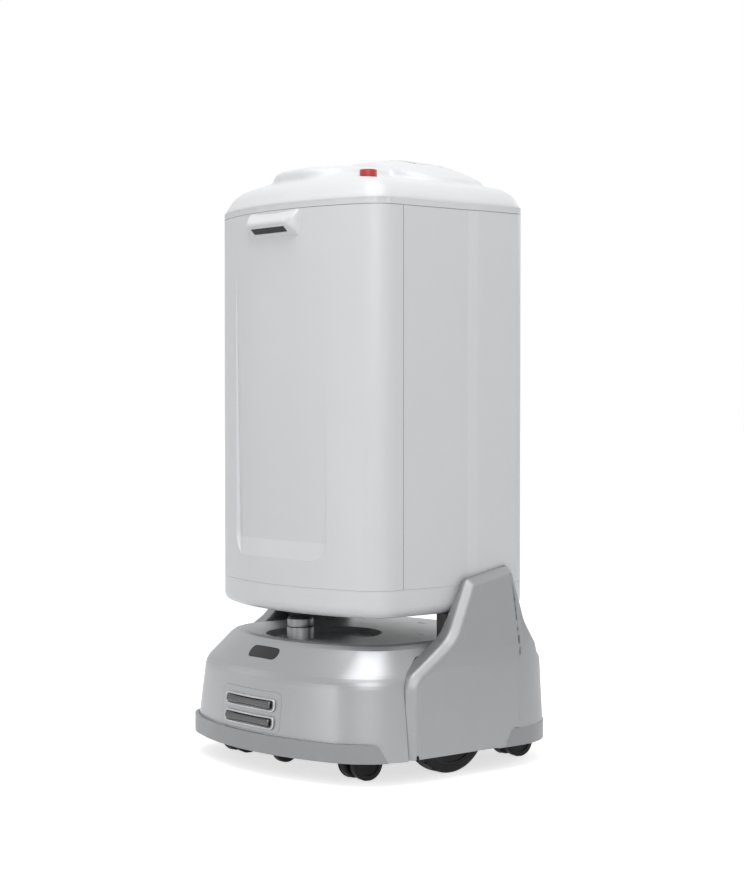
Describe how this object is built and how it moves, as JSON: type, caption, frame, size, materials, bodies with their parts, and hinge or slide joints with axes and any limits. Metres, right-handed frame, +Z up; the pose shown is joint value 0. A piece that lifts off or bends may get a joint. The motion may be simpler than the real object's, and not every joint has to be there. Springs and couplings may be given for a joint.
{
  "type": "tray delivery robot",
  "caption": "Wheeled indoor delivery robot: low sensor base with side arms carrying a tall closed-front cabinet that opens to the rear onto sliding trays.",
  "frame": {"origin": "on the floor under the centre of the robot's footprint", "axes": "+Z up, the front looks along -Y, +X is the robot's left"},
  "size_m": [0.63, 0.624, 1.2259],
  "materials": {
    "cabinet_white": "satin",
    "base_silver": "satin",
    "dark_frame": "satin",
    "steel": "satin",
    "contact_metal": "satin",
    "tyre": "matt",
    "black_plastic": "matt",
    "dark_window": "gloss",
    "lidar_metal": "satin",
    "stop_red": "gloss",
    "stop_collar": "satin",
    "spring_rubber": "matt",
    "tray_grey": "satin",
    "liner_grey": "satin",
    "screen": "gloss",
    "case_black": "satin"
  },
  "bodies": {
    "robot": {"front_bumper": "base_silver", "rear_bumper": "base_silver", "arm_cover_left": "base_silver", "arm_cover_right": "base_silver", "sensor_window": "dark_window", "charge_panel": "base_silver", "charge_contacts": "contact_metal", "base_cover": "base_silver", "base_rear_cover": "base_silver", "arm_post_left": "dark_frame", "arm_post_right": "dark_frame", "chassis_plate": "dark_frame", "caster_sockets": "steel", "battery_pack": "case_black", "control_box": "case_black", "lidar_base": "lidar_metal", "drive_brackets": "steel", "pivot_pins": "steel", "guide_bracket": "steel", "guide_axle": "steel", "cabinet_front_shell": "cabinet_white", "cabinet_left_panel": "cabinet_white", "cabinet_right_panel": "cabinet_white", "cabinet_bottom": "cabinet_white", "cabinet_bolts": "steel", "bay_liner": "liner_grey", "top_cap": "cabinet_white", "display_glass": "screen", "estop_collar": "stop_collar", "camera_hood": "cabinet_white", "camera_window": "dark_window", "suspension_spring_left": "spring_rubber", "suspension_spring_right": "spring_rubber"},
    "suspension_left": {"drive_arm_left": "steel", "drive_axle_left": "steel"},
    "drive_wheel_left": {"drive_hub_left": "black_plastic", "drive_tyre_left": "tyre"},
    "suspension_right": {"drive_arm_right": "steel", "drive_axle_right": "steel"},
    "drive_wheel_right": {"drive_hub_right": "black_plastic", "drive_tyre_right": "tyre"},
    "caster_front_left": {"caster_front_left_yoke": "black_plastic"},
    "caster_front_left_wheelset": {"caster_front_left_axle": "steel", "caster_front_left_wheels": "tyre"},
    "caster_front_right": {"caster_front_right_yoke": "black_plastic"},
    "caster_front_right_wheelset": {"caster_front_right_axle": "steel", "caster_front_right_wheels": "tyre"},
    "caster_rear_left": {"caster_rear_left_yoke": "black_plastic"},
    "caster_rear_left_wheelset": {"caster_rear_left_axle": "steel", "caster_rear_left_wheels": "tyre"},
    "caster_rear_right": {"caster_rear_right_yoke": "black_plastic"},
    "caster_rear_right_wheelset": {"caster_rear_right_axle": "steel", "caster_rear_right_wheels": "tyre"},
    "guide_wheel": {"guide_roller": "tyre"},
    "lidar_rotor": {"lidar_head": "lidar_metal"},
    "estop": {"estop_head": "stop_red"},
    "tray_1_slide": {"tray_1": "tray_grey"},
    "tray_2_slide": {"tray_2": "tray_grey"},
    "tray_3_slide": {"tray_3": "tray_grey"},
    "tray_4_slide": {"tray_4": "tray_grey"}
  },
  "joints": [
    {"name": "suspension_left_swing", "type": "hinge", "parent": "robot", "child": "suspension_left", "pos_m": [0.208, -0.112, 0.116], "axis": [1, 0, 0], "range_deg": [-3, 5], "stiffness_Nm_per_rad": 60, "springref_deg": -8.42, "deforming": ["suspension_spring_left"]},
    {"name": "drive_wheel_left_spin", "type": "hinge", "parent": "suspension_left", "child": "drive_wheel_left", "pos_m": [0.246, 0, 0.095], "axis": [1, 0, 0], "continuous": true},
    {"name": "suspension_right_swing", "type": "hinge", "parent": "robot", "child": "suspension_right", "pos_m": [-0.208, -0.112, 0.116], "axis": [1, 0, 0], "range_deg": [-3, 5], "stiffness_Nm_per_rad": 60, "springref_deg": -8.42, "deforming": ["suspension_spring_right"]},
    {"name": "drive_wheel_right_spin", "type": "hinge", "parent": "suspension_right", "child": "drive_wheel_right", "pos_m": [-0.246, 0, 0.095], "axis": [1, 0, 0], "continuous": true},
    {"name": "caster_front_left_swivel", "type": "hinge", "parent": "robot", "child": "caster_front_left", "pos_m": [0.194, -0.202, 0.08], "axis": [0, 0, 1], "continuous": true},
    {"name": "caster_front_left_roll", "type": "hinge", "parent": "caster_front_left", "child": "caster_front_left_wheelset", "pos_m": [0.194, -0.175, 0.034], "axis": [1, 0, 0], "continuous": true},
    {"name": "caster_front_right_swivel", "type": "hinge", "parent": "robot", "child": "caster_front_right", "pos_m": [-0.194, -0.202, 0.08], "axis": [0, 0, 1], "continuous": true},
    {"name": "caster_front_right_roll", "type": "hinge", "parent": "caster_front_right", "child": "caster_front_right_wheelset", "pos_m": [-0.194, -0.175, 0.034], "axis": [1, 0, 0], "continuous": true},
    {"name": "caster_rear_left_swivel", "type": "hinge", "parent": "robot", "child": "caster_rear_left", "pos_m": [0.194, 0.202, 0.08], "axis": [0, 0, 1], "continuous": true},
    {"name": "caster_rear_left_roll", "type": "hinge", "parent": "caster_rear_left", "child": "caster_rear_left_wheelset", "pos_m": [0.194, 0.229, 0.034], "axis": [1, 0, 0], "continuous": true},
    {"name": "caster_rear_right_swivel", "type": "hinge", "parent": "robot", "child": "caster_rear_right", "pos_m": [-0.194, 0.202, 0.08], "axis": [0, 0, 1], "continuous": true},
    {"name": "caster_rear_right_roll", "type": "hinge", "parent": "caster_rear_right", "child": "caster_rear_right_wheelset", "pos_m": [-0.194, 0.229, 0.034], "axis": [1, 0, 0], "continuous": true},
    {"name": "guide_roll", "type": "hinge", "parent": "robot", "child": "guide_wheel", "pos_m": [0, -0.209, 0.039], "axis": [1, 0, 0], "continuous": true},
    {"name": "lidar_spin", "type": "hinge", "parent": "robot", "child": "lidar_rotor", "pos_m": [0, -0.171, 0.28], "axis": [0, 0, 1], "continuous": true},
    {"name": "estop_press", "type": "slide", "parent": "robot", "child": "estop", "axis": [0, 0, -1], "range_m": [0, 0.0035], "stiffness_N_per_m": 1500},
    {"name": "tray_1_pull", "type": "slide", "parent": "robot", "child": "tray_1_slide", "axis": [0, 1, 0], "range_m": [0, 0.3]},
    {"name": "tray_2_pull", "type": "slide", "parent": "robot", "child": "tray_2_slide", "axis": [0, 1, 0], "range_m": [0, 0.3]},
    {"name": "tray_3_pull", "type": "slide", "parent": "robot", "child": "tray_3_slide", "axis": [0, 1, 0], "range_m": [0, 0.3]},
    {"name": "tray_4_pull", "type": "slide", "parent": "robot", "child": "tray_4_slide", "axis": [0, 1, 0], "range_m": [0, 0.3]}
  ]
}
